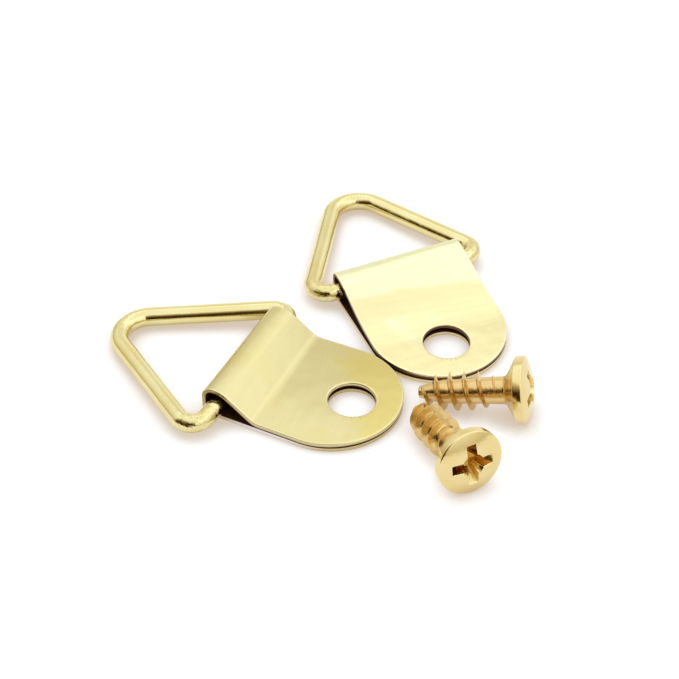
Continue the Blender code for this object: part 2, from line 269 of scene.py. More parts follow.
def brushed_group():
    """Fine parallel lines that run along the second axis, in bundles of unlike strength."""
    tree, given, out = new_tree("Brushed Lines", "ShaderNodeTree", [
        ("Vector", VECTOR, None), ("Lines per mm", FLOAT, 9.0), ("Line Length", FLOAT, 4.0)],
        [("Lines", FLOAT), ("Bundles", FLOAT)])
    x, y, z = separated(tree, given["Vector"])
    across = times(tree, x, given["Lines per mm"])
    along = maths(tree, "DIVIDE", y, given["Line Length"])
    bundles = noise(tree, combined(tree, times(tree, across, 0.2), times(tree, along, 0.6), z), 1.0, 2.0)
    fine = noise(tree, combined(tree, across, along, z), 1.0, 3.0, 0.6)
    strength = mapped(tree, bundles, 0.3, 0.7, 0.4, 1.0)
    link(tree, out["Lines"], times(tree, fine, strength))
    link(tree, out["Bundles"], bundles)
    return tree


# How many cells there are for specks, and how far a speck reaches in its cell
SPECK_CELLS_PER_MM = 2.2
SPECK_SIZE = (0.05, 0.12)


def plating_group():
    """Slow change of the plating's tone, from its pale to its deep colour, with small specks."""
    tree, given, out = new_tree("Plating Tone", "ShaderNodeTree", [
        ("Vector", VECTOR, None), ("Pale", COLOUR, None), ("Deep", COLOUR, None),
        ("Speck", COLOUR, None), ("Cloud Size mm", FLOAT, 6.0), ("Lean", FLOAT, 0.0),
        ("Speck Share", FLOAT, 0.3)], [("Color", COLOUR), ("Specks", FLOAT)])
    scale = maths(tree, "DIVIDE", 1.0, given["Cloud Size mm"])
    clouds = noise(tree, given["Vector"], scale, 3.0, 0.55, 0.4)
    depth = mapped(tree, plus(tree, clouds, given["Lean"]), 0.35, 0.65, kind="SMOOTHSTEP")
    tone = blended(tree, depth, given["Pale"], given["Deep"])
    cells = put(tree, "ShaderNodeTexVoronoi",
                {"Vector": given["Vector"], "Scale": SPECK_CELLS_PER_MM}).outputs
    small = mapped(tree, cells["Distance"], *SPECK_SIZE, 1.0, 0.0)
    chosen = made(tree, "ShaderNodeSeparateColor", {0: cells["Color"]})
    specks = times(tree, small, maths(tree, "LESS_THAN", chosen, given["Speck Share"]))
    link(tree, out["Color"], blended(tree, times(tree, specks, 0.5), tone, given["Speck"]))
    link(tree, out["Specks"], specks)
    return tree


def metal_start(name):
    """A plain metal, ready for its colour, roughness and bump."""
    material = bpy.data.materials.new(name)
    material.use_nodes = True
    tree = material.node_tree
    shader = tree.nodes["Principled BSDF"]
    shader.inputs["Metallic"].default_value = 1.0
    return material, tree, shader


def rough_and_bump(tree, shader, roughness, height):
    link(tree, shader.inputs["Roughness"], roughness)
    link(tree, shader.inputs["Normal"],
         made(tree, "ShaderNodeBump", {"Height": height, "Distance": 1.0, "Strength": 1.0}))


# Each strap's plating, one brass painted darker on the left as painted shade and paler on the right as a
# painted highlight; where a painted shade turns it from pale to deep along the sheet, in mm, and how
# strongly
LEFT_FINISH = {"pale": (0.64, 0.56, 0.275, 1), "deep": (0.65, 0.535, 0.185, 1),
               "worn_and_highlit": (0.84, 0.77, 0.47, 1), "sheared": (0.62, 0.52, 0.27, 1),
               "steel_and_reflection": (0.84, 0.80, 0.82, 1), "painted_shade_span": (33.0, 42.0), "painted_shade_leans": (-0.14, 0.2),
               "skew": 0.6, "roughness": 0.22, "line_shade": 0.05}
RIGHT_FINISH = {"pale": (0.82, 0.80, 0.49, 1), "deep": (0.80, 0.71, 0.375, 1),
                "worn_and_highlit": (0.90, 0.84, 0.52, 1), "sheared": (0.80, 0.69, 0.40, 1),
                "steel_and_reflection": (0.86, 0.74, 0.62, 1), "painted_shade_span": (27.0, 28.5), "painted_shade_leans": (-0.25, 0.15),
                "skew": -0.11, "roughness": 0.20, "line_shade": 0.10}
STRAP_SPECKS = {"Speck": (0.35, 0.24, 0.08, 1), "Cloud Size mm": 7.0, "Speck Share": 0.02}
PAINTED_SHADE_INSIDE = (0.17, 0.075, 0.03, 1)
TORN_AND_SHADED_EDGE = (0.13, 0.055, 0.025, 1)
LINE_SHADE = (0.45, 0.34, 0.12, 1)
# In mm: how far wear and a painted rim highlight reach in from an edge, and the depth in the sheet where the
# painted shade of its inside starts, with more roughness
WORN_AND_HIGHLIT_REACH = (0.02, 0.30)
INSIDE_DEPTH = (0.36, 0.44)
LINE_HEIGHT = 0.002 * MM
WAVE_HEIGHT = 0.05 * MM


def strap_metal(name, finish, plating, brushed):
    """Brushed plating outside, rougher inside under a painted shade, paler at the edges for wear and a
    painted rim highlight. Cut edges are half bright and half torn, darkened by painted shade next to the gap
    between the leaves and at the floor, and the lower leaf's shows bare steel with a painted reflection of
    the floor.
    """
    material, tree, shader = metal_start(name)
    on_sheet = carried(tree, "on_sheet")["Vector"]
    edge = carried(tree, "from_edge")["Fac"]
    cut, torn_and_shaded, steel_and_reflection = separated(tree, carried(tree, "at_cut")["Vector"])
    t, y, depth = separated(tree, on_sheet)
    # Painted shade along the sheet: past a given place the tone leans from pale to deep, for how each part
    # of the strap is lit
    along = plus(tree, t, times(tree, y, finish["skew"]))
    lean = mapped(tree, along, *finish["painted_shade_span"], *finish["painted_shade_leans"], "SMOOTHSTEP")
    tone = group(tree, plating, {"Vector": on_sheet, "Pale": finish["pale"], "Deep": finish["deep"],
                                 "Lean": lean, **STRAP_SPECKS})
    lines = group(tree, brushed, {"Vector": on_sheet})
    # Paler near every edge: wear along with a painted rim highlight
    worn_and_highlit = mapped(tree, edge, *WORN_AND_HIGHLIT_REACH, 0.5, 0.0, "SMOOTHSTEP")
    colour = blended(tree, worn_and_highlit, tone["Color"], finish["worn_and_highlit"])
    shade = mapped(tree, lines["Lines"], 0.1, 0.6, 0.0, finish["line_shade"])
    colour = blended(tree, shade, colour, LINE_SHADE)
    # Painted shade: the inner faces, which lie in the fold's shaded pocket, turn dark brown
    colour = blended(tree, mapped(tree, depth, *INSIDE_DEPTH), colour, PAINTED_SHADE_INSIDE)
    # Bare steel along with a painted reflection of the white floor on the lower leaf's cut edge
    sheared_steel_and_reflection = blended(tree, steel_and_reflection, finish["sheared"], finish["steel_and_reflection"])
    # The torn zone along with painted shade darkens the cut walls
    sheared = blended(tree, torn_and_shaded, sheared_steel_and_reflection, TORN_AND_SHADED_EDGE)
    link(tree, shader.inputs["Base Color"], blended(tree, cut, colour, sheared))
    rough = plus(tree, finish["roughness"], times(tree, lines["Bundles"], 0.08))
    rough = plus(tree, rough, times(tree, tone["Specks"], 0.2))
    rough = plus(tree, rough, mapped(tree, depth, *INSIDE_DEPTH, 0.0, 0.25))
    waves = noise(tree, on_sheet, 0.35, 1.0)
    height = plus(tree, times(tree, lines["Lines"], LINE_HEIGHT), times(tree, waves, WAVE_HEIGHT))
    rough_and_bump(tree, shader, rough, height)
    return material


RING_TONE = {"Pale": (0.78, 0.70, 0.37, 1), "Deep": (0.76, 0.65, 0.30, 1),
             "Speck": (0.4, 0.26, 0.08, 1), "Cloud Size mm": 5.0, "Speck Share": 0.10}
MOTTLED = (0.46, 0.33, 0.10, 1)
GRAIN_HEIGHTS = (0.003 * MM, 0.03 * MM)


def ring_metal(name, plating, brushed):
    """Bright drawn wire, with fine draw lines and a mottled skin where it was bent."""
    material, tree, shader = metal_start(name)
    on_wire = carried(tree, "on_wire")["Vector"]
    where = in_mm(tree, put(tree, "ShaderNodeTexCoord").outputs["Object"])
    tone = group(tree, plating, {"Vector": where, **RING_TONE})
    lines = group(tree, brushed, {"Vector": on_wire, "Lines per mm": 7.0, "Line Length": 3.0})
    bend = separated(tree, on_wire)[2]
    grain = noise(tree, where, 4.5, 3.0, 0.6)
    shade = plus(tree, mapped(tree, lines["Lines"], 0.25, 0.6, 0.0, 0.10),
                 times(tree, bend, mapped(tree, grain, 0.52, 0.62, 0.0, 0.35)))
    link(tree, shader.inputs["Base Color"], blended(tree, shade, tone["Color"], MOTTLED))
    rough = plus(tree, 0.09, times(tree, lines["Bundles"], 0.06))
    grain_height = times(tree, grain, mapped(tree, bend, 0.0, 1.0, *GRAIN_HEIGHTS))
    height = plus(tree, times(tree, lines["Lines"], LINE_HEIGHT), grain_height)
    rough_and_bump(tree, shader, rough, height)
    return material


SCREW_TONE = {"Pale": (0.77, 0.63, 0.31, 1), "Deep": (0.75, 0.59, 0.26, 1),
              "Speck": (0.35, 0.2, 0.05, 1), "Cloud Size mm": 3.0, "Speck Share": 0.15}
SHANK_PAINTED_HIGHLIGHT = (1.0, 0.93, 0.60, 1)
SHANK_HIGHLIGHT_SHARE = 0.85
RECESS_PAINTED_SHADE = (0.62, 0.38, 0.10, 1)
# In mm: how far below the dome the recess takes its brown painted shade, and how far past its span that is
# looked for
RECESS_SHADE_DEPTH = (0.12, 0.9)
RECESS_SHADE_MARGIN = 0.1
SCUFF_HEIGHT = 0.012 * MM
LUMP_HEIGHT = 0.06 * MM


def screw_metal(name, matrix, plating):
    """Yellow brass plating, painted paler on the shank as a painted highlight and lumpier there, with a
    brown painted shade down in the recess.
    """
    material, tree, shader = metal_start(name)
    where = put(tree, "ShaderNodeTexCoord").outputs["Object"]
    own = made(tree, "ShaderNodeMapping", {"Vector": where, "Location": matrix.translation,
                                           "Rotation": matrix.to_euler(), "Scale": (MM, MM, MM)},
               vector_type="TEXTURE")
    tone = group(tree, plating, {"Vector": own, **SCREW_TONE})
    x, y, z = separated(tree, own)
    from_axis = maths(tree, "SQRT", plus(tree, times(tree, x, x), times(tree, y, y)))
    on_shank = mapped(tree, z, -HEAD_CONE_HEIGHT / MM, -HEAD_CONE_HEIGHT / MM - 0.3)
    # Painted highlight: the shank is painted paler than the head
    colour = blended(tree, times(tree, on_shank, SHANK_HIGHLIGHT_SHARE), tone["Color"], SHANK_PAINTED_HIGHLIGHT)
    dome_radius, dome_centre = dome_sphere()
    fall = minus(tree, (dome_radius / MM) ** 2, times(tree, from_axis, from_axis))
    face = plus(tree, dome_centre / MM, maths(tree, "SQRT", maths(tree, "MAXIMUM", fall, 0.0)))
    # Painted shade: the recess turns brown with depth below the dome
    recess_shade = mapped(tree, minus(tree, face, z), *RECESS_SHADE_DEPTH, 0.0, 0.75)
    near_axis = maths(tree, "LESS_THAN", from_axis, RECESS_SPAN / 2 / MM + RECESS_SHADE_MARGIN)
    link(tree, shader.inputs["Base Color"],
         blended(tree, times(tree, recess_shade, near_axis), colour, RECESS_PAINTED_SHADE))
    scuffs = noise(tree, own, 3.0, 4.0, 0.65)
    rough = mapped(tree, scuffs, 0.3, 0.7, 0.06, 0.18)
    rough = maths(tree, "MULTIPLY_ADD", on_shank, 0.10, rough)
    lumps = times(tree, noise(tree, own, 1.3, 1.0), times(tree, on_shank, LUMP_HEIGHT))
    rough_and_bump(tree, shader, rough, maths(tree, "MULTIPLY_ADD", scuffs, SCUFF_HEIGHT, lumps))
    return material


# Shapes that follow the solids

def left_of(direction):
    return Vector((-direction.y, direction.x))


def rounded_path(corners, radii, steps):
    """Points along a plane line with rounded inner corners, each with its left-hand normal."""
    directions = [(after - before).normalized() for before, after in zip(corners, corners[1:])]
    stations = [(corners[0], left_of(directions[0]))]
    for corner, radius, count, arriving, leaving in zip(corners[1:], radii, steps, directions,
                                                        directions[1:]):
        turn = atan2(arriving.cross(leaving), arriving.dot(leaving))
        inward = radius if turn > 0 else -radius
        centre = corner - arriving * radius * tan(abs(turn) / 2) + left_of(arriving) * inward
        for step in range(count + 1):
            normal = Matrix.Rotation(turn * step / count, 2) @ left_of(arriving)
            stations.append((centre - normal * inward, normal))
    stations.append((corners[-1], left_of(directions[-1])))
    return stations


def hanger_matrix(hanger):
    return Matrix.Translation(hanger["place"]) @ Matrix.Rotation(hanger["turn"], 4, "Z")


def ring_reach(base, lean):
    """From the ring's axis to the middle of the wire at the rounded apex."""
    near_angle = atan2(base / 2 + lean, RING_HEIGHT)
    far_angle = atan2(base / 2 - lean, RING_HEIGHT)
    to_centre = RING_APEX_RADIUS / sin((near_angle + far_angle) / 2)
    return RING_HEIGHT - to_centre * cos((near_angle - far_angle) / 2) + RING_APEX_RADIUS


def ring_shift(base, lean, bend_inside):
    """The ring lies slid along the fold, with its far bend this far inside the strap's edge."""
    corner_angle = atan2(RING_HEIGHT, base / 2 - lean)
    bend_start = base / 2 - RING_BASE_CORNER_RADIUS / tan(corner_angle / 2)
    return STRAP_WIDTH / 2 - bend_inside - bend_start


def hinge_place(hanger):
    askew = STRAP_WIDTH / 2 * abs(tan(hanger["ring_skew"]))
    shift = ring_shift(hanger["ring_base"], hanger["ring_lean"], hanger["bend_inside"])
    return Vector((SHEET_THICKNESS + WIRE_FOLD_CLEARANCE + askew + WIRE_RADIUS, shift,
                   SHEET_THICKNESS + WIRE_REST_CLEARANCE + WIRE_RADIUS))


FOLD_STEPS = 14
SHOULDER_STEPS = 10
CREASE_STEPS = 14
CROWN_START = 0.0015
NEAR_DROP_START = 0.3
DROOP_EASE = 2 * MM


def strap_side(hanger, crease, headroom, shoulder_radius):
    """The strap's outer face seen along the fold, from the lower leaf's end to the upper leaf's."""
    hinge = hinge_place(hanger)
    height = 2 * SHEET_THICKNESS + WIRE_DIAMETER + WIRE_REST_CLEARANCE + headroom
    leaf_top = 2 * SHEET_THICKNESS + hanger["leaf_gap"]
    end = ROUND_END_CENTRE + ROUND_END_RADIUS + BLANK_OVERRUN
    to_wire = Vector((hinge.x - crease, hinge.z - leaf_top))
    circle = WIRE_RADIUS + hanger["slope_clearance"] + SHEET_THICKNESS
    slope = pi - atan2(to_wire.y, to_wire.x) + asin(circle / to_wire.length)
    corners = [Vector((end, 0)), Vector((0, 0)), Vector((0, height)),
               Vector((crease - (height - leaf_top) / tan(slope), height)),
               Vector((crease, leaf_top)), Vector((end, leaf_top))]
    radii = [FOLD_RADIUS, hanger["top_radius"], shoulder_radius, hanger["crease_radius"]]
    return rounded_path(corners, radii, [FOLD_STEPS, FOLD_STEPS, SHOULDER_STEPS, CREASE_STEPS])


def held(value, low, high):
    """How far a value has come from low to high, from nought to one."""
    return min(1, max(0, (value - low) / (high - low)))


def round_angles(count):
    return [2 * pi * step / count for step in range(count)]


def eased(past, ease):
    """Nought at first, then a steady rise of one in one."""
    past = max(0, past)
    return past * past / (2 * ease) if past < ease else past - ease / 2


class Sheet:
    """A strap's outer face laid out flat: t runs from the lower leaf's end over the fold, y across."""

    def __init__(self, hanger):
        self.hanger = hanger
        self.sides = [strap_side(hanger, *edge) for edge in
                      zip(hanger["creases"], hanger["headrooms"], hanger["shoulder_radii"])]
        middles = [(near[0] + far[0]) / 2 for near, far in zip(*self.sides)]
        self.marks = [0.0]
        for before, after in zip(middles, middles[1:]):
            self.marks.append(self.marks[-1] + (after - before).length)
        self.blank = STRAP_WIDTH / 2 + BLANK_OVERRUN
        self.fold_start = self.marks[1]
        self.fold_end = self.marks[2 * (FOLD_STEPS + 1)]

    def across(self, y):
        return min(1, max(0, y / self.blank / 2 + 0.5))

    def at(self, t, y, depth=0.0):
        number = min(len(self.marks) - 2, max(0, bisect_right(self.marks, t) - 1))
        step = (t - self.marks[number]) / (self.marks[number + 1] - self.marks[number])
        ends = []
        for side in self.sides:
            (first, first_normal), (last, last_normal) = side[number], side[number + 1]
            ends.append((first.lerp(last, step), first_normal.lerp(last_normal, step)))
        point = ends[0][0].lerp(ends[1][0], self.across(y))
        normal = ends[0][1].lerp(ends[1][1], self.across(y)).normalized()
        lift = self.lift(point.x, y) if number > len(self.marks) / 2 else 0
        return Vector((point.x - normal.x * depth, y, point.y - normal.y * depth + lift))

    def lift(self, x, y):
        """How far the upper leaf lies above its plain shape, for its crown and its lean."""
        crease = sum(self.hanger["creases"]) / 2
        share = held(x, CROWN_START, crease)
        share = share * share * (3 - 2 * share)
        sideways = 2 * y / STRAP_WIDTH
        endways = max(0, x - ROUND_END_CENTRE) / ROUND_END_RADIUS
        share = share * max(0, 1 - endways ** 2)
        crown = self.hanger["crown"] * (1 - sideways ** 2)
        past = max(0, -sideways - NEAR_DROP_START)
        near = self.hanger["near_drop"] * (1 - (past / (1 - NEAR_DROP_START)) ** 2)
        return (crown + near) * share - self.hanger["droop"] * eased(x - crease, DROOP_EASE)

    def along(self, x, y, upper):
        """The t of a point of the plan, on the upper or the lower leaf."""
        if not upper:
            return self.sides[0][0][0].x - x
        share = self.across(y)
        xs = [near[0].x + share * (far[0].x - near[0].x) for near, far in zip(*self.sides)]
        number = len(xs) - 2
        while xs[number] > x:
            number -= 1
        step = (x - xs[number]) / (xs[number + 1] - xs[number])
        return self.marks[number] + step * (self.marks[number + 1] - self.marks[number])


SHEET_GRID = 0.00045
GRID_COLUMNS = 32
END_STEPS = 72
HOLE_STEPS = 72
EDGE_ROUNDING = 0.00007
HOLE_ROUNDING = 0.00013
INSIDE_ROUNDING = 0.00005
EDGE_STEPS = 3
# Where the wall of a cut turns from sheared to torn, as shares of the sheet's thickness
TORN_BETWEEN = (0.45, 0.58)
RIM_BAND = 0.00012
RIM_CLEAR = 0.00025
# Where along the lower leaf's rim bare steel with a painted reflection of the floor shows, and how it fades
# towards the fold
BARE_STEEL_AND_REFLECTION_FROM = (0.006, 0.010)
BARE_STEEL_AND_REFLECTION_FADE = 0.003
NEVER_ZERO = 1e-18
SAME_POINT = 1e-6


def strap_outline(sheet):
    """The strap's rows across, and its outline and two holes laid out flat, the lower hole first."""
    half_width = STRAP_WIDTH / 2
    side = hypot(ROUND_END_CENTRE, half_width)
    first = pi / 2 - (atan2(half_width, ROUND_END_CENTRE) - asin(ROUND_END_RADIUS / side))
    angles = [first - 2 * first * step / END_STEPS for step in range(END_STEPS + 1)]
    arc = [(ROUND_END_CENTRE + ROUND_END_RADIUS * cos(a), ROUND_END_RADIUS * sin(a)) for a in angles]
    wide_x, wide_y = arc[0]
    rows = []
    for before, after in zip(sheet.marks, sheet.marks[1:]):
        count = max(1, ceil((after - before) / SHEET_GRID))
        rows += [before + (after - before) * step / count for step in range(count)]

    def straight(sign):
        points = []
        bottom, top = (sheet.along(wide_x, sign * wide_y, upper) for upper in (False, True))
        for t in rows:
            if bottom + SHEET_GRID / 2 < t < top - SHEET_GRID / 2:
                x = max(0, sheet.at(t, sign * half_width).x)
                points.append((t, sign * (half_width + (wide_y - half_width) * min(1, x / wide_x))))
        return points

    outline = [(sheet.along(x, y, False), y) for x, y in arc]
    outline += straight(-1)
    outline += [(sheet.along(x, y, True), y) for x, y in reversed(arc)]
    outline += reversed(straight(1))
    rim = [(HOLE_CENTRE + HOLE_DIAMETER / 2 * cos(a), HOLE_DIAMETER / 2 * sin(a))
           for a in round_angles(HOLE_STEPS)]
    holes = [[(sheet.along(x, y, upper), y) for x, y in rim] for upper in (False, True)]
    return rows, [outline] + holes


def area(loop):
    """The loop's area, below nought where it goes round clockwise."""
    return sum(a[0] * b[1] - b[0] * a[1] for a, b in zip(loop, loop[1:] + loop[:1])) / 2


def inset(loop, distance, keep_inside):
    """The loop moved into the sheet by a distance."""
    sign = (1 if area(loop) > 0 else -1) * (1 if keep_inside else -1)
    moved = []
    for before, here, after in zip(loop[-1:] + loop[:-1], loop, loop[1:] + loop[:1]):
        direction = Vector((after[0] - before[0], after[1] - before[1])).normalized()
        moved.append((here[0] - sign * direction.y * distance, here[1] + sign * direction.x * distance))
    return moved


def edge_distance(point, loops):
    """How far a point lies from the nearest edge."""
    best = inf
    for loop in loops:
        for a, b in zip(loop, loop[1:] + loop[:1]):
            ax, ay = b[0] - a[0], b[1] - a[1]
            px, py = point[0] - a[0], point[1] - a[1]
            step = min(1, max(0, (px * ax + py * ay) / (ax * ax + ay * ay + NEVER_ZERO)))
            best = min(best, hypot(px - step * ax, py - step * ay))
    return best


def inside(point, loop):
    found = False
    for a, b in zip(loop, loop[1:] + loop[:1]):
        if (a[1] > point[1]) != (b[1] > point[1]):
            if point[0] < a[0] + (point[1] - a[1]) / (b[1] - a[1]) * (b[0] - a[0]):
                found = not found
    return found


def sheet_faces(rows, loops, roundings):
    """The flat sheet as points and faces, and which of its points each loop's rim starts from."""
    starts = [inset(loop, rounding, number == 0)
              for number, (loop, rounding) in enumerate(zip(loops, roundings))]
    flat, links = [], []
    for loop in starts:
        first = len(flat)
        flat += loop
        links += [(first + i, first + (i + 1) % len(loop)) for i in range(len(loop))]
    for number, (loop, rounding) in enumerate(zip(loops, roundings)):
        flat += inset(loop, rounding + RIM_BAND, number == 0)[::2]
    columns = [(step / GRID_COLUMNS - 0.5) * STRAP_WIDTH for step in range(GRID_COLUMNS + 1)]
    for point in ((t, y) for t in rows for y in columns):
        if inside(point, loops[0]) and not inside(point, loops[1]) and not inside(point, loops[2]):
            if edge_distance(point, loops) > HOLE_ROUNDING + RIM_CLEAR:
                flat.append(point)
    scaled = [Vector((t / MM, y / MM)) for t, y in flat]
    points, _, faces, origins, _, _ = delaunay_2d_cdt(scaled, links, [], 1, SAME_POINT)
    places = [(p.x * MM, p.y * MM) for p in points]
    wanted = []
    for face in faces:
        middle = tuple(sum(places[i][axis] for i in face) / len(face) for axis in (0, 1))
        if not inside(middle, starts[1]) and not inside(middle, starts[2]):
            wanted.append(tuple(face))
    index_of = {origin: new for new, origins_here in enumerate(origins) for origin in origins_here}
    return places, wanted, index_of


def rim_profile(rounding):
    """From the outer face over the cut edge to the inner face: how far in from the edge, how deep."""
    quarter = [radians(90) * step / EDGE_STEPS for step in range(EDGE_STEPS + 1)]
    outer = [(rounding * (1 - sin(a)), rounding * (1 - cos(a))) for a in quarter[1:]]
    wall = [(0, SHEET_THICKNESS * share) for share in TORN_BETWEEN]
    inner = [(INSIDE_ROUNDING * (1 - sin(a)), SHEET_THICKNESS - INSIDE_ROUNDING * (1 - cos(a)))
             for a in reversed(quarter)]
    return outer + wall + inner


def bridged(bm, above, below):
    """Faces between two rows of points that go round alike."""
    for i in range(len(above)):
        j = (i + 1) % len(above)
        bm.faces.new((above[i], above[j], below[j], below[i]))


def make_strap(hanger, material):
    """The sheet's two faces and its rims, laid out flat and then folded into place."""
    sheet = Sheet(hanger)
    rows, loops = strap_outline(sheet)
    roundings = [EDGE_ROUNDING, HOLE_ROUNDING, HOLE_ROUNDING]
    places, faces, index_of = sheet_faces(rows, loops, roundings)
    bm = bmesh.new()
    on_sheet = bm.verts.layers.float_vector.new("on_sheet")
    from_edge = bm.verts.layers.float.new("from_edge")
    at_cut = bm.verts.layers.float_vector.new("at_cut")

    def vertex(t, y, depth, distance, cut=(0, 0, 0)):
        vert = bm.verts.new(sheet.at(t, y, depth))
        vert[on_sheet] = (t / MM, y / MM, depth / MM)
        vert[from_edge] = distance / MM
        vert[at_cut] = cut
        return vert

    def cut_look(number, t, depth):
        """Whether a rim point is cut, how torn and darkened by painted shade it is, and how much bare steel
        with a painted reflection of the floor it shows.
        """
        upper = held(t, sheet.fold_start, sheet.fold_end)
        share = depth / SHEET_THICKNESS
        # The torn share is partly the cut's torn zone and partly painted shade: next to the gap on the upper
        # leaf, at the floor in the lower hole, below the rim in the upper hole
        torn_and_shaded = (upper * held(share, *hanger["torn_and_shaded_edge"]), 1 - held(share, 0.0, 0.3),
                held(share, *hanger["torn_and_shaded_hole"]))[number]
        # Bare steel with a painted reflection of the white floor, on the lower leaf's straight rim
        bare_and_reflecting = held(t, *BARE_STEEL_AND_REFLECTION_FROM) * held(sheet.fold_start - t, 0.0, BARE_STEEL_AND_REFLECTION_FADE)
        steel_and_reflection = (bare_and_reflecting, 0, 0)[number]
        return (held(share, 0.05, 0.15) * held(1 - share, 0.0, 0.08), torn_and_shaded, steel_and_reflection)

    outer, inner = {}, {}
    for i in sorted({i for face in faces for i in face}):
        t, y = places[i]
        distance = edge_distance(places[i], loops)
        outer[i] = vertex(t, y, 0.0, distance)
        inner[i] = vertex(t, y, SHEET_THICKNESS, distance)
    for face in faces:
        bm.faces.new([outer[i] for i in face])
        bm.faces.new([inner[i] for i in reversed(face)])
    offset = 0
    for number, (loop, rounding) in enumerate(zip(loops, roundings)):
        count = len(loop)
        rings = [[outer[index_of[offset + i]] for i in range(count)]]
        for move, depth in rim_profile(rounding):
            rings.append([vertex(t, y, depth, 0.0, cut_look(number, t, depth))
                          for t, y in inset(loop, move, number == 0)])
        rings.append([inner[index_of[offset + i]] for i in range(count)])
        for above, below in zip(rings, rings[1:]):
            bridged(bm, above, below)
        offset += count
    bmesh.ops.recalc_face_normals(bm, faces=bm.faces)
    bm.transform(hanger_matrix(hanger))
    return finished(bm, hanger["name"] + "_folded_strap", material)


def in_scene(name, data):
    obj = bpy.data.objects.new(name, data)
    bpy.context.collection.objects.link(obj)
    return obj


def finished(bm, name, material):
    mesh = bpy.data.meshes.new(name)
    bm.to_mesh(mesh)
    bm.free()
    mesh.shade_smooth()
    if material:
        mesh.materials.append(material)
    return in_scene(name, mesh)


def plain_mesh(source, name, matrix):
    """The evaluated object as a plain mesh, with its place in its mesh."""
    bpy.context.view_layer.update()
    depsgraph = bpy.context.evaluated_depsgraph_get()
    seen = source.evaluated_get(depsgraph)
    mesh = bpy.data.meshes.new_from_object(seen, preserve_all_data_layers=True, depsgraph=depsgraph)
    bpy.data.objects.remove(source, do_unlink=True)
    mesh.transform(matrix)
    mesh.name = name
    return in_scene(name, mesh)


def grown(tree, name, values):
    """An object grown by a geometry node tree, with the tree's inputs by name."""
    source = in_scene(name, bpy.data.meshes.new(name))
    modifier = source.modifiers.new(name, "NODES")
    modifier.node_group = tree
    sockets = {item.name: item.identifier for item in tree.interface.items_tree
               if item.in_out == "INPUT"}
    for label, value in values.items():
        modifier[sockets[label]] = value
    return source


def chosen_by_index(tree, values):
    """A vector that depends on the point's number."""
    node = tree.nodes.new("GeometryNodeIndexSwitch")
    node.data_type = "VECTOR"
    while len(node.index_switch_items) < len(values):
        node.index_switch_items.new()
    link(tree, node.inputs["Index"], made(tree, "GeometryNodeInputIndex"))
    for number, value in enumerate(values):
        link(tree, node.inputs[number + 1], value)
    return node.outputs[0]


def kept(tree, geometry, **values):
    """Catch values on the points of a curve, to be read after it has become a mesh."""
    node = tree.nodes.new("GeometryNodeCaptureAttribute")
    link(tree, node.inputs["Geometry"], geometry)
    for name, value in values.items():
        node.capture_items.new("VECTOR" if value.type == "VECTOR" else "FLOAT", name)
        link(tree, node.inputs[name], value)
    return node.outputs


def ended(tree, out, geometry, metal):
    """End a tree in real geometry of one metal."""
    real = made(tree, "GeometryNodeRealizeInstances", {"Geometry": geometry})
    link(tree, out["Geometry"],
         made(tree, "GeometryNodeSetMaterial", {"Geometry": real, "Material": metal}))
    return tree


# Dents lie round each bend of the base and a few at the apex, placed by shares of the wire's length
# from its middle
WIRE_DENT_DEPTH = 0.000055
BASE_BEND_AT = 0.36
BASE_BEND_FADE = (0.03, 0.085)
APEX_FADE = (0.02, 0.07)
APEX_STRENGTH = 0.45
DENTS_PER_MM = 2.3
DENT_STRENGTH = 1.6


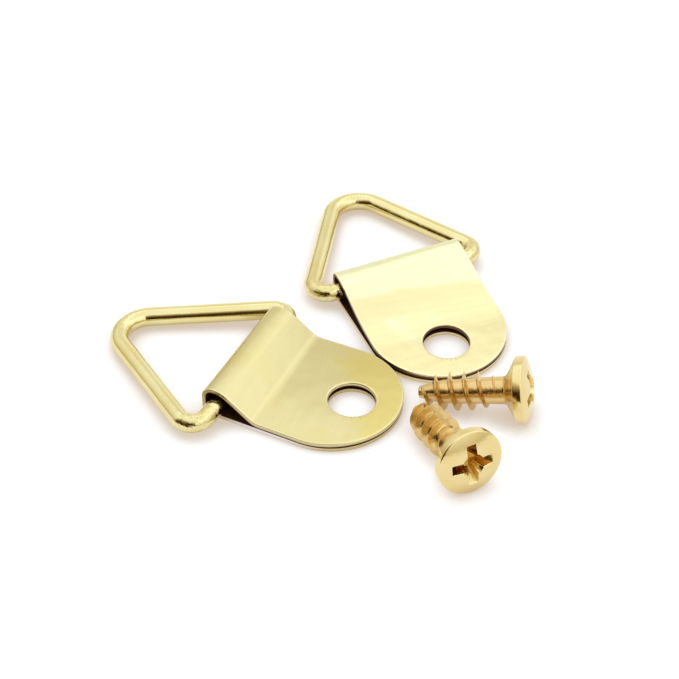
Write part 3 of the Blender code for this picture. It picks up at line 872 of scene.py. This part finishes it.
def ring_tree():
    """A wire bent round a triangle, its ends meeting in the middle of the base."""
    tree, given, out = new_tree("Triangle Ring", "GeometryNodeTree", [
        ("Geometry", GEOMETRY, None), ("Base", FLOAT, 0.02), ("Height", FLOAT, 0.02), ("Lean", FLOAT, 0.0),
        ("Base Corner Radius", FLOAT, 0.002), ("Apex Radius", FLOAT, 0.003), ("End Gap", FLOAT, 0.0003),
        ("Wire Diameter", FLOAT, 0.002), ("Bend Steps", INT, 20), ("Wire Sides", INT, 40),
        ("Sample Length", FLOAT, 0.00014), ("Dent Depth", FLOAT, 0.00003), ("Seed", FLOAT, 0.0),
        ("Wire Metal", MATERIAL, None)], [("Geometry", GEOMETRY)])
    half_base = times(tree, given["Base"], 0.5)
    half_gap = times(tree, given["End Gap"], 0.5)
    near_gap, near_corner, apex = (times(tree, value, -1.0)
                                   for value in (half_gap, half_base, given["Height"]))
    corners = [combined(tree, y=near_gap), combined(tree, y=near_corner),
               combined(tree, x=apex, y=given["Lean"]),
               combined(tree, y=half_base), combined(tree, y=half_gap)]
    line = made(tree, "GeometryNodeMeshLine", {"Count": len(corners)})
    bent = made(tree, "GeometryNodeSetPosition", {"Geometry": line,
                                                  "Position": chosen_by_index(tree, corners)})
    path = made(tree, "GeometryNodeMeshToCurve", {"Mesh": bent})
    index = made(tree, "GeometryNodeInputIndex")
    at_apex = made(tree, "FunctionNodeCompare", {2: index, 3: 2}, data_type="INT", operation="EQUAL")
    radius = made(tree, "GeometryNodeSwitch", {"Switch": at_apex, "False": given["Base Corner Radius"],
                                               "True": given["Apex Radius"]}, input_type="FLOAT")
    fillet = made(tree, "GeometryNodeFilletCurve",
                  {"Curve": path, "Count": given["Bend Steps"], "Radius": radius}, mode="POLY")
    even = made(tree, "GeometryNodeResampleCurve",
                {"Curve": fillet, "Length": given["Sample Length"]}, mode="LENGTH")
    spline = put(tree, "GeometryNodeSplineParameter").outputs
    middle_line = kept(tree, even, Share=spline["Factor"], Length=spline["Length"])
    circle = made(tree, "GeometryNodeCurvePrimitiveCircle",
                  {"Resolution": given["Wire Sides"], "Radius": times(tree, given["Wire Diameter"], 0.5)})
    round_spline = put(tree, "GeometryNodeSplineParameter").outputs
    section = kept(tree, circle, Around=round_spline["Length"])
    wire = made(tree, "GeometryNodeCurveToMesh", {"Curve": middle_line["Geometry"],
                                                  "Profile Curve": section["Geometry"],
                                                  "Fill Caps": True})
    place = in_mm(tree, made(tree, "GeometryNodeInputPosition"))
    shifted = made(tree, "ShaderNodeVectorMath", {0: place, 1: combined(tree, z=given["Seed"])},
                   operation="ADD")
    from_middle = maths(tree, "ABSOLUTE", minus(tree, middle_line["Share"], 0.5))
    from_bend = maths(tree, "ABSOLUTE", minus(tree, from_middle, BASE_BEND_AT))
    near_bend = mapped(tree, from_bend, *BASE_BEND_FADE, 1.0, 0.0, "SMOOTHSTEP")
    at_top = mapped(tree, from_middle, *APEX_FADE, APEX_STRENGTH, 0.0, "SMOOTHSTEP")
    worked = maths(tree, "MAXIMUM", near_bend, at_top)
    cells = put(tree, "ShaderNodeTexVoronoi", {"Vector": shifted, "Scale": DENTS_PER_MM,
                                               "Smoothness": 0.4}, feature="SMOOTH_F1").outputs
    dents = times(tree, times(tree, cells["Distance"], worked), DENT_STRENGTH)
    sway = noise(tree, shifted, 0.45, 2.0)
    push = times(tree, plus(tree, sway, dents), times(tree, given["Dent Depth"], -1.0))
    offset = made(tree, "ShaderNodeVectorMath", {0: made(tree, "GeometryNodeInputNormal"), "Scale": push},
                  operation="SCALE")
    dented = made(tree, "GeometryNodeSetPosition", {"Geometry": wire, "Offset": offset})
    on_wire = combined(tree, times(tree, section["Around"], 1000.0),
                       times(tree, middle_line["Length"], 1000.0), worked)
    stored = made(tree, "GeometryNodeStoreNamedAttribute",
                  {"Geometry": dented, "Name": "on_wire", "Value": on_wire},
                  data_type="FLOAT_VECTOR", domain="POINT")
    smooth = made(tree, "GeometryNodeSetShadeSmooth", {"Geometry": stored})
    return ended(tree, out, smooth, given["Wire Metal"])


def make_ring(hanger, tree, material):
    hinge = hinge_place(hanger)
    droop = asin((hinge.z - WIRE_RADIUS) / ring_reach(hanger["ring_base"], hanger["ring_lean"]))
    matrix = hanger_matrix(hanger) @ Matrix.Translation(hinge)
    matrix = matrix @ Euler((0, -droop, hanger["ring_skew"])).to_matrix().to_4x4()
    source = grown(tree, "wire", {
        "Base": hanger["ring_base"], "Height": RING_HEIGHT, "Lean": hanger["ring_lean"],
        "Base Corner Radius": RING_BASE_CORNER_RADIUS, "Apex Radius": RING_APEX_RADIUS,
        "End Gap": WIRE_END_GAP, "Wire Diameter": WIRE_DIAMETER, "Dent Depth": WIRE_DENT_DEPTH,
        "Seed": float(hanger["seed"]), "Wire Metal": material})
    return plain_mesh(source, hanger["name"] + "_wire_ring", matrix)


# The thread's ridge in section: sideways and outward, as shares of its half width and its height
THREAD_SECTION = [(-1.0, 0.0, 0), (-0.5, 0.34, 0), (-0.17, 0.86, 0), (-0.07, 1.0, 0),
                  (0.07, 1.0, 0), (0.17, 0.86, 0), (0.5, 0.34, 0), (1.0, 0.0, 0)]


def thread_tree():
    """A ridge along a helix that rises over the tip and runs out towards the head."""
    tree, given, out = new_tree("Screw Thread", "GeometryNodeTree", [
        ("Geometry", GEOMETRY, None), ("Bottom", FLOAT, -0.01), ("Top", FLOAT, -0.002),
        ("Pitch", FLOAT, 0.0015), ("Base Width", FLOAT, 0.0009), ("Crest Radius", FLOAT, 0.002),
        ("Neck Radius", FLOAT, 0.00135), ("Core Radius", FLOAT, 0.0012), ("Tip Radius", FLOAT, 0.0006),
        ("Tip Height", FLOAT, -0.0105), ("Taper Length", FLOAT, 0.0024), ("Neck Height", FLOAT, -0.0017),
        ("Run Out", FLOAT, 0.0024), ("Root Depth", FLOAT, 0.0002), ("Steps", INT, 260),
        ("Thread Metal", MATERIAL, None)], [("Geometry", GEOMETRY)])
    line = made(tree, "GeometryNodeCurvePrimitiveLine")
    steps = made(tree, "GeometryNodeResampleCurve", {"Curve": line, "Count": given["Steps"]}, mode="COUNT")
    helix = kept(tree, steps, Share=put(tree, "GeometryNodeSplineParameter").outputs["Factor"])
    circle = made(tree, "GeometryNodeCurvePrimitiveCircle", {"Resolution": len(THREAD_SECTION)})
    ridge = kept(tree, circle, Section=chosen_by_index(tree, THREAD_SECTION))
    tube = made(tree, "GeometryNodeCurveToMesh", {"Curve": helix["Geometry"],
                                                  "Profile Curve": ridge["Geometry"],
                                                  "Fill Caps": True})
    climbed = times(tree, minus(tree, given["Top"], given["Bottom"]), helix["Share"])
    height = plus(tree, given["Bottom"], climbed)
    angle = times(tree, maths(tree, "DIVIDE", climbed, given["Pitch"]), 2 * pi)
    taper_top = plus(tree, given["Tip Height"], given["Taper Length"])
    over_tip = mapped(tree, height, given["Tip Height"], taper_top,
                      given["Tip Radius"], given["Core Radius"])
    over_neck = mapped(tree, height, taper_top, given["Neck Height"], 0.0,
                       minus(tree, given["Neck Radius"], given["Core Radius"]))
    core = plus(tree, over_tip, over_neck)
    rise = maths(tree, "SQRT", maths(tree, "DIVIDE", climbed, given["Taper Length"], clamp=True))
    to_top = minus(tree, given["Top"], height)
    fade = maths(tree, "DIVIDE", to_top, given["Run Out"], clamp=True)
    foot = minus(tree, core, given["Root Depth"])
    sunk = minus(tree, core, times(tree, given["Root Depth"], 0.5))
    tallness = times(tree, minus(tree, given["Crest Radius"], sunk), maths(tree, "MINIMUM", rise, fade))
    crest = plus(tree, sunk, tallness)
    sideways, outward, _ = separated(tree, ridge["Section"])
    radius = plus(tree, foot, times(tree, outward, minus(tree, crest, foot)))
    level = plus(tree, height, times(tree, sideways, times(tree, given["Base Width"], 0.5)))
    place = combined(tree, times(tree, radius, maths(tree, "COSINE", angle)),
                     times(tree, radius, maths(tree, "SINE", angle)), level)
    wound = made(tree, "GeometryNodeSetPosition", {"Geometry": tube, "Position": place})
    return ended(tree, out, wound, given["Thread Metal"])


TURNED_STEPS = 96
DOME_STEPS = 12
DOME_SHARE = 0.93
# Radius and steps at the rim's upper and lower edge, the neck, the start of the taper and the tip
PROFILE_ROUNDINGS = [(0.00016, 6), (0.00014, 5), (0.0006, 8), (0.002, 6), (0.0002, 4)]
SHARP_FROM = radians(28)


def dome_sphere():
    """The radius of the head's dome, and the height of its centre."""
    head_radius = HEAD_DIAMETER / 2
    radius = (head_radius ** 2 + HEAD_DOME_HEIGHT ** 2) / (2 * HEAD_DOME_HEIGHT)
    return radius, HEAD_CROWN - radius


def screw_profile():
    """Half outline of the turned screw, from the dome's top down to the tip."""
    head_radius = HEAD_DIAMETER / 2
    dome_radius, dome_centre = dome_sphere()
    reach = asin(head_radius / dome_radius) * DOME_SHARE
    angles = [reach * step / DOME_STEPS for step in range(DOME_STEPS + 1)]
    dome = [Vector((dome_radius * sin(a), dome_centre + dome_radius * cos(a))) for a in angles]
    corners = [dome[-1], Vector((head_radius, HEAD_RIM_HEIGHT)), Vector((head_radius, 0)),
               Vector((NECK_DIAMETER / 2, -HEAD_CONE_HEIGHT)),
               Vector((CORE_DIAMETER / 2, -SHANK_LENGTH + TIP_TAPER_LENGTH)),
               Vector((TIP_DIAMETER / 2, -SHANK_LENGTH)), Vector((0, -SHANK_LENGTH))]
    return dome + [point for point, _ in rounded_path(corners, *zip(*PROFILE_ROUNDINGS))[1:]]


def turned_body(name, material):
    profile = screw_profile()
    bm = bmesh.new()
    top = bm.verts.new((0, 0, profile[0].y))
    bottom = bm.verts.new((0, 0, profile[-1].y))
    angles = round_angles(TURNED_STEPS)
    rings = [[bm.verts.new((point.x * cos(a), point.x * sin(a), point.y)) for a in angles]
             for point in profile[1:-1]]
    for i in range(TURNED_STEPS):
        j = (i + 1) % TURNED_STEPS
        bm.faces.new((top, rings[0][i], rings[0][j]))
        bm.faces.new((bottom, rings[-1][j], rings[-1][i]))
        for upper, lower in zip(rings, rings[1:]):
            bm.faces.new((upper[i], lower[i], lower[j], upper[j]))
    bmesh.ops.recalc_face_normals(bm, faces=bm.faces)
    return finished(bm, name, material)


WING_STEPS = 12
# The floor is wider than in the solids, and the walls flare a little where they meet the dome
RECESS_FLOOR_SPAN = 0.0020
RECESS_FLARE = 0.00007
FLARE_STEP = 0.1 * RECESS_FLARE
FLARE_RISE = 0.2 * RECESS_FLARE
FLARE_WIDTH = 1.2 * RECESS_FLARE
RECESS_CONE_RADIUS = 0.00118
RECESS_BOWL_RADIUS = 0.00062
CUTTER_OVERRUN = 0.0005


def lofted(layers):
    """A closed body through layers of points that go round alike."""
    bm = bmesh.new()
    rows = [[bm.verts.new(point) for point in layer] for layer in layers]
    for before, after in zip(rows, rows[1:]):
        bridged(bm, before, after)
    bm.faces.new(rows[0])
    bm.faces.new(rows[-1][::-1])
    bmesh.ops.recalc_face_normals(bm, faces=bm.faces)
    return bm


def wing_cutter(turn):
    """One slot of the cross, with drafted walls, sloping ends and a small flare where it meets the dome."""
    dome_radius, dome_centre = dome_sphere()
    floor = HEAD_CROWN - RECESS_DEPTH
    half_span, half_floor = RECESS_SPAN / 2, RECESS_FLOOR_SPAN / 2

    def half_width(z):
        draft = RECESS_WING_WIDTH - RECESS_FLOOR_WIDTH
        return (RECESS_FLOOR_WIDTH + draft * (z - floor) / RECESS_DEPTH) / 2

    layers = []
    for step in range(-WING_STEPS, WING_STEPS + 1):
        x = half_span * step / WING_STEPS
        face = dome_centre + sqrt(dome_radius ** 2 - x ** 2)
        past = max(0, abs(x) - half_floor) / (half_span - half_floor)
        low = floor + RECESS_DEPTH * past
        wall_top = max(low + FLARE_STEP, face - RECESS_FLARE)
        flare_top = max(wall_top + FLARE_STEP, face + FLARE_RISE)
        flared = half_width(wall_top) + FLARE_WIDTH
        right = [(half_width(low), low), (half_width(wall_top), wall_top),
                 (flared, flare_top), (flared, HEAD_CROWN + CUTTER_OVERRUN)]
        layers.append([(x, y, z) for y, z in right] + [(x, -y, z) for y, z in reversed(right)])
    bm = lofted(layers)
    bm.transform(Matrix.Rotation(turn, 4, "Z"))
    return bm


def cone_cutter():
    """The hollow between the slots, flared where it meets the dome."""
    dome_radius, dome_centre = dome_sphere()
    face = dome_centre + sqrt(dome_radius ** 2 - RECESS_CONE_RADIUS ** 2)
    profile = [(RECESS_BOWL_RADIUS, HEAD_CROWN - RECESS_DEPTH), (RECESS_CONE_RADIUS, face - RECESS_FLARE),
               (RECESS_CONE_RADIUS + FLARE_WIDTH, face + FLARE_RISE),
               (RECESS_CONE_RADIUS + FLARE_WIDTH, HEAD_CROWN + CUTTER_OVERRUN)]
    return lofted([[(radius * cos(a), radius * sin(a), z) for a in round_angles(TURNED_STEPS)]
                   for radius, z in profile])


def screw_matrix(screw):
    head_radius = HEAD_DIAMETER / 2
    tilt = atan2(head_radius - THREAD_DIAMETER / 2, SHANK_LENGTH - TIP_TAPER_LENGTH)
    rim = Vector((SHANK_LENGTH * cos(tilt), 0, head_radius * cos(tilt)))
    return (Matrix.Translation(screw["tip"]) @ Matrix.Rotation(screw["turn"], 4, "Z")
            @ Matrix.Translation(rim) @ Matrix.Rotation(pi / 2 - tilt, 4, "Y")
            @ Matrix.Rotation(screw["roll"], 4, "Z"))


def make_screw(screw, tree, plating):
    name = screw["name"] + "_raised_screw"
    matrix = screw_matrix(screw)
    material = screw_metal(screw["name"] + "_screw_brass", matrix, plating)
    body = turned_body(name + "_turned", material)
    ridge = grown(tree, name + "_ridge", {
        "Bottom": -SHANK_LENGTH + THREAD_BASE_WIDTH / 2, "Top": -HEAD_CONE_HEIGHT - THREAD_TO_HEAD,
        "Pitch": THREAD_PITCH, "Base Width": THREAD_BASE_WIDTH, "Crest Radius": THREAD_DIAMETER / 2,
        "Neck Radius": NECK_DIAMETER / 2, "Core Radius": CORE_DIAMETER / 2, "Tip Radius": TIP_DIAMETER / 2,
        "Tip Height": -SHANK_LENGTH, "Taper Length": TIP_TAPER_LENGTH, "Neck Height": -HEAD_CONE_HEIGHT,
        "Run Out": THREAD_RUN_OUT, "Root Depth": THREAD_ROOT_DEPTH, "Thread Metal": material})
    ridge = plain_mesh(ridge, name + "_thread", Matrix())
    bm = bmesh.new()
    bm.from_mesh(ridge.data)
    bmesh.ops.recalc_face_normals(bm, faces=bm.faces)
    bm.to_mesh(ridge.data)
    bm.free()
    tools = [("UNION", ridge)]
    for number, cutter in enumerate((wing_cutter(0), wing_cutter(pi / 2), cone_cutter())):
        tools.append(("DIFFERENCE", finished(cutter, f"{name}_cutter_{number}", None)))
    for operation, tool in tools:
        modifier = body.modifiers.new(tool.name, "BOOLEAN")
        modifier.operation = operation
        modifier.solver = "EXACT"
        modifier.object = tool
    piece = plain_mesh(body, name, matrix)
    for _, tool in tools:
        bpy.data.objects.remove(tool, do_unlink=True)
    piece.data.shade_smooth()
    piece.data.set_sharp_from_angle(angle=SHARP_FROM)
    return piece


# The studio

# How bright the tent is by elevation in degrees, towards each side
TENT_BEHIND = [(0, 1.12), (22, 1.08), (34, 0.95), (41, 0.97), (45, 1.13), (49, 1.48), (58, 1.40), (68, 1.20)]
TENT_RIGHT = [(0, 0.70), (12, 1.00), (25, 1.22), (33, 1.31), (46, 1.60), (54, 1.44), (64, 1.20)]
TENT_LEFT = [(0, 0.58), (15, 0.84), (28, 1.00), (41, 1.10), (55, 1.28), (65, 1.22)]
TENT_OPENING = [(0, 0.06), (28, 0.04), (38, 0.25), (48, 0.60), (58, 1.15), (65, 1.22)]
# What colour each brightness has: the dim sides are warm, the bright ones a little cool
TENT_COLOURS = [(0.0, (0.0, 0.0, 0.0)), (0.05, (0.05, 0.02, 0.003)), (0.3, (0.30, 0.22, 0.10)),
                (0.62, (0.62, 0.55, 0.38)), (0.85, (0.85, 0.81, 0.67)), (1.0, (1.0, 0.985, 0.93)),
                (1.2, (1.20, 1.25, 1.32)), (1.6, (1.60, 1.66, 1.78))]
TENT_BRIGHTEST = 1.6
TENT_RADIUS = 0.6
TENT_FOOT = -0.001
# Between which directions each side takes over, in degrees from straight behind round to the right
LEFT_SIDE = (-10, -28)
RIGHT_SIDE = (15, 50)
OPENING = ((-95, -110), (162, 172))


def light_tent():
    """A dome that only reflections see: bright above and at the sides, with a dark opening in front."""
    bm = bmesh.new()
    bmesh.ops.create_uvsphere(bm, u_segments=48, v_segments=32, radius=TENT_RADIUS)
    bmesh.ops.delete(bm, geom=[v for v in bm.verts if v.co.z < TENT_FOOT], context="VERTS")
    bmesh.ops.reverse_faces(bm, faces=bm.faces)
    material = bpy.data.materials.new("tent_cloth")
    tree = emptied(material)
    where = put(tree, "ShaderNodeTexCoord").outputs["Object"]
    x, y, z = separated(tree, made(tree, "ShaderNodeVectorMath", {0: where}, operation="NORMALIZE"))
    elevation = maths(tree, "DIVIDE", maths(tree, "ARCSINE", z), radians(90))
    azimuth = maths(tree, "DIVIDE", maths(tree, "ARCTAN2", x, y), radians(1))

    def ramp(value, stops):
        node = put(tree, "ShaderNodeValToRGB", {0: value})
        elements = node.color_ramp.elements
        while len(elements) < len(stops):
            elements.new(0.5)
        for element, (position, colour) in zip(elements, stops):
            element.position = position
            element.color = (*colour, 1)
        return node.outputs[0]

    def level(stops):
        return ramp(elevation, [(angle / 90, (value,) * 3) for angle, value in stops])

    def from_azimuth(low, high):
        return mapped(tree, azimuth, low, high, kind="SMOOTHSTEP")

    toned = blended(tree, from_azimuth(*LEFT_SIDE), level(TENT_BEHIND), level(TENT_LEFT))
    toned = blended(tree, from_azimuth(*RIGHT_SIDE), toned, level(TENT_RIGHT))
    in_front = maths(tree, "MAXIMUM", *(from_azimuth(*edge) for edge in OPENING))
    toned = blended(tree, in_front, toned, level(TENT_OPENING))
    brightness = maths(tree, "DIVIDE", made(tree, "ShaderNodeSeparateColor", {0: toned}), TENT_BRIGHTEST)
    colour = ramp(brightness, [(value / TENT_BRIGHTEST, colour) for value, colour in TENT_COLOURS])
    glow = made(tree, "ShaderNodeEmission", {"Color": colour, "Strength": 1.0})
    put(tree, "ShaderNodeOutputMaterial", {0: glow})
    tent = finished(bm, "light_tent", material)
    for flag in ("visible_camera", "visible_diffuse", "visible_shadow", "visible_transmission",
                 "visible_volume_scatter"):
        setattr(tent, flag, False)


def seen_directly(tree):
    """One for camera, glossy and transmission rays, which see the white background."""
    path = put(tree, "ShaderNodeLightPath").outputs
    seen = maths(tree, "MAXIMUM", path["Is Camera Ray"], path["Is Glossy Ray"])
    return maths(tree, "MAXIMUM", seen, path["Is Transmission Ray"])


FLOOR_COLOUR = (0.36, 0.36, 0.37, 1)
FLOOR_GLOW = 0.76
FLOOR_SHADE = (0.62, 0.52, 0.42, 1)
SHADE_REACH = 0.0030
FLOOR_SIZE = 1.5
FLOOR_BELOW = 0.00002
WHITE = (1, 1, 1, 1)


def floor():
    """A matt tabletop that glows a little, less so close under things and in the straps' holes."""
    bm = bmesh.new()
    bmesh.ops.create_grid(bm, x_segments=1, y_segments=1, size=FLOOR_SIZE)
    bm.transform(Matrix.Translation((0, 0, -FLOOR_BELOW)))
    material = bpy.data.materials.new("pale_tabletop")
    tree = emptied(material)
    openness = put(tree, "ShaderNodeAmbientOcclusion", {"Distance": SHADE_REACH}, samples=12).outputs["AO"]
    shade = mapped(tree, openness, 0.45, 0.88)
    matt = made(tree, "ShaderNodeBsdfDiffuse", {"Color": FLOOR_COLOUR})
    glow = made(tree, "ShaderNodeEmission", {
        "Color": blended(tree, shade, FLOOR_SHADE, WHITE),
        "Strength": times(tree, seen_directly(tree), FLOOR_GLOW)})
    put(tree, "ShaderNodeOutputMaterial", {0: made(tree, "ShaderNodeAddShader", {0: matt, 1: glow})})
    finished(bm, "tabletop", material)


HORIZON_LIGHT = 1.6
ZENITH_LIGHT = 0.5
SOFTBOX_WATTS = 0.6
SOFTBOX_SIZE = (0.35, 0.25)
SOFTBOX_PLACE = Vector((-0.12, 0.12, 0.45))


def studio():
    """A white background over a soft sky, and one soft lamp above, behind and to the left."""
    world = bpy.data.worlds.new("studio")
    bpy.context.scene.world = world
    tree = emptied(world)
    up = separated(tree, put(tree, "ShaderNodeTexCoord").outputs["Generated"])[2]
    strength = mapped(tree, up, 0.0, 1.0, HORIZON_LIGHT, ZENITH_LIGHT)
    sky = made(tree, "ShaderNodeBackground", {"Color": WHITE, "Strength": strength})
    white = made(tree, "ShaderNodeBackground", {"Color": WHITE, "Strength": 1.0})
    mix = made(tree, "ShaderNodeMixShader", {0: seen_directly(tree), 1: sky, 2: white})
    put(tree, "ShaderNodeOutputWorld", {0: mix})
    lamp = bpy.data.lights.new("softbox", "AREA")
    lamp.shape = "RECTANGLE"
    lamp.size, lamp.size_y = SOFTBOX_SIZE
    lamp.energy = SOFTBOX_WATTS
    softbox = in_scene("softbox", lamp)
    softbox.location = SOFTBOX_PLACE
    softbox.rotation_euler = (-SOFTBOX_PLACE).to_track_quat("-Z", "Y").to_euler()
    softbox.visible_glossy = False


CAMERA_LENS = 107.01
CAMERA_DISTANCE = 0.21706
CAMERA_ELEVATION = radians(41.01)
SENSOR_WIDTH_MM = 36
NEAREST_SEEN = 0.005


def camera():
    data = bpy.data.cameras.new("camera")
    data.lens = CAMERA_LENS
    data.sensor_width = SENSOR_WIDTH_MM
    data.clip_start = NEAREST_SEEN
    obj = in_scene("camera", data)
    away = Vector((0, -cos(CAMERA_ELEVATION), sin(CAMERA_ELEVATION)))
    obj.location = SET_CENTRE + CAMERA_DISTANCE * away
    obj.rotation_euler = (pi / 2 - CAMERA_ELEVATION, 0, 0)
    bpy.context.scene.camera = obj


def place_piece(piece, body, node):
    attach(piece, body)
    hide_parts(node)


camera()
studio()
light_tent()
floor()

brushed = brushed_group()
plating = plating_group()
ring_nodes = ring_tree()
thread_nodes = thread_tree()
wire_brass = ring_metal("drawn_wire_brass", plating, brushed)
# One brass for both straps, painted darker on the left as painted shade and paler on the right as a painted
# highlight
strap_finishes = {"left": strap_metal("satin_brass_painted_shaded", LEFT_FINISH, plating, brushed),
                  "right": strap_metal("satin_brass_painted_lit", RIGHT_FINISH, plating, brushed)}
for hanger in (LEFT_HANGER, RIGHT_HANGER):
    strap, ring = hanger["name"] + "_strap", hanger["name"] + "_ring"
    place_piece(make_strap(hanger, strap_finishes[hanger["name"]]), strap, strap)
    place_piece(make_ring(hanger, ring_nodes, wire_brass), ring, ring)
for screw in (FRONT_SCREW, REAR_SCREW):
    node = screw["name"] + "_screw"
    place_piece(make_screw(screw, thread_nodes, plating), node, node)

bpy.context.scene.view_settings.view_transform = "Standard"
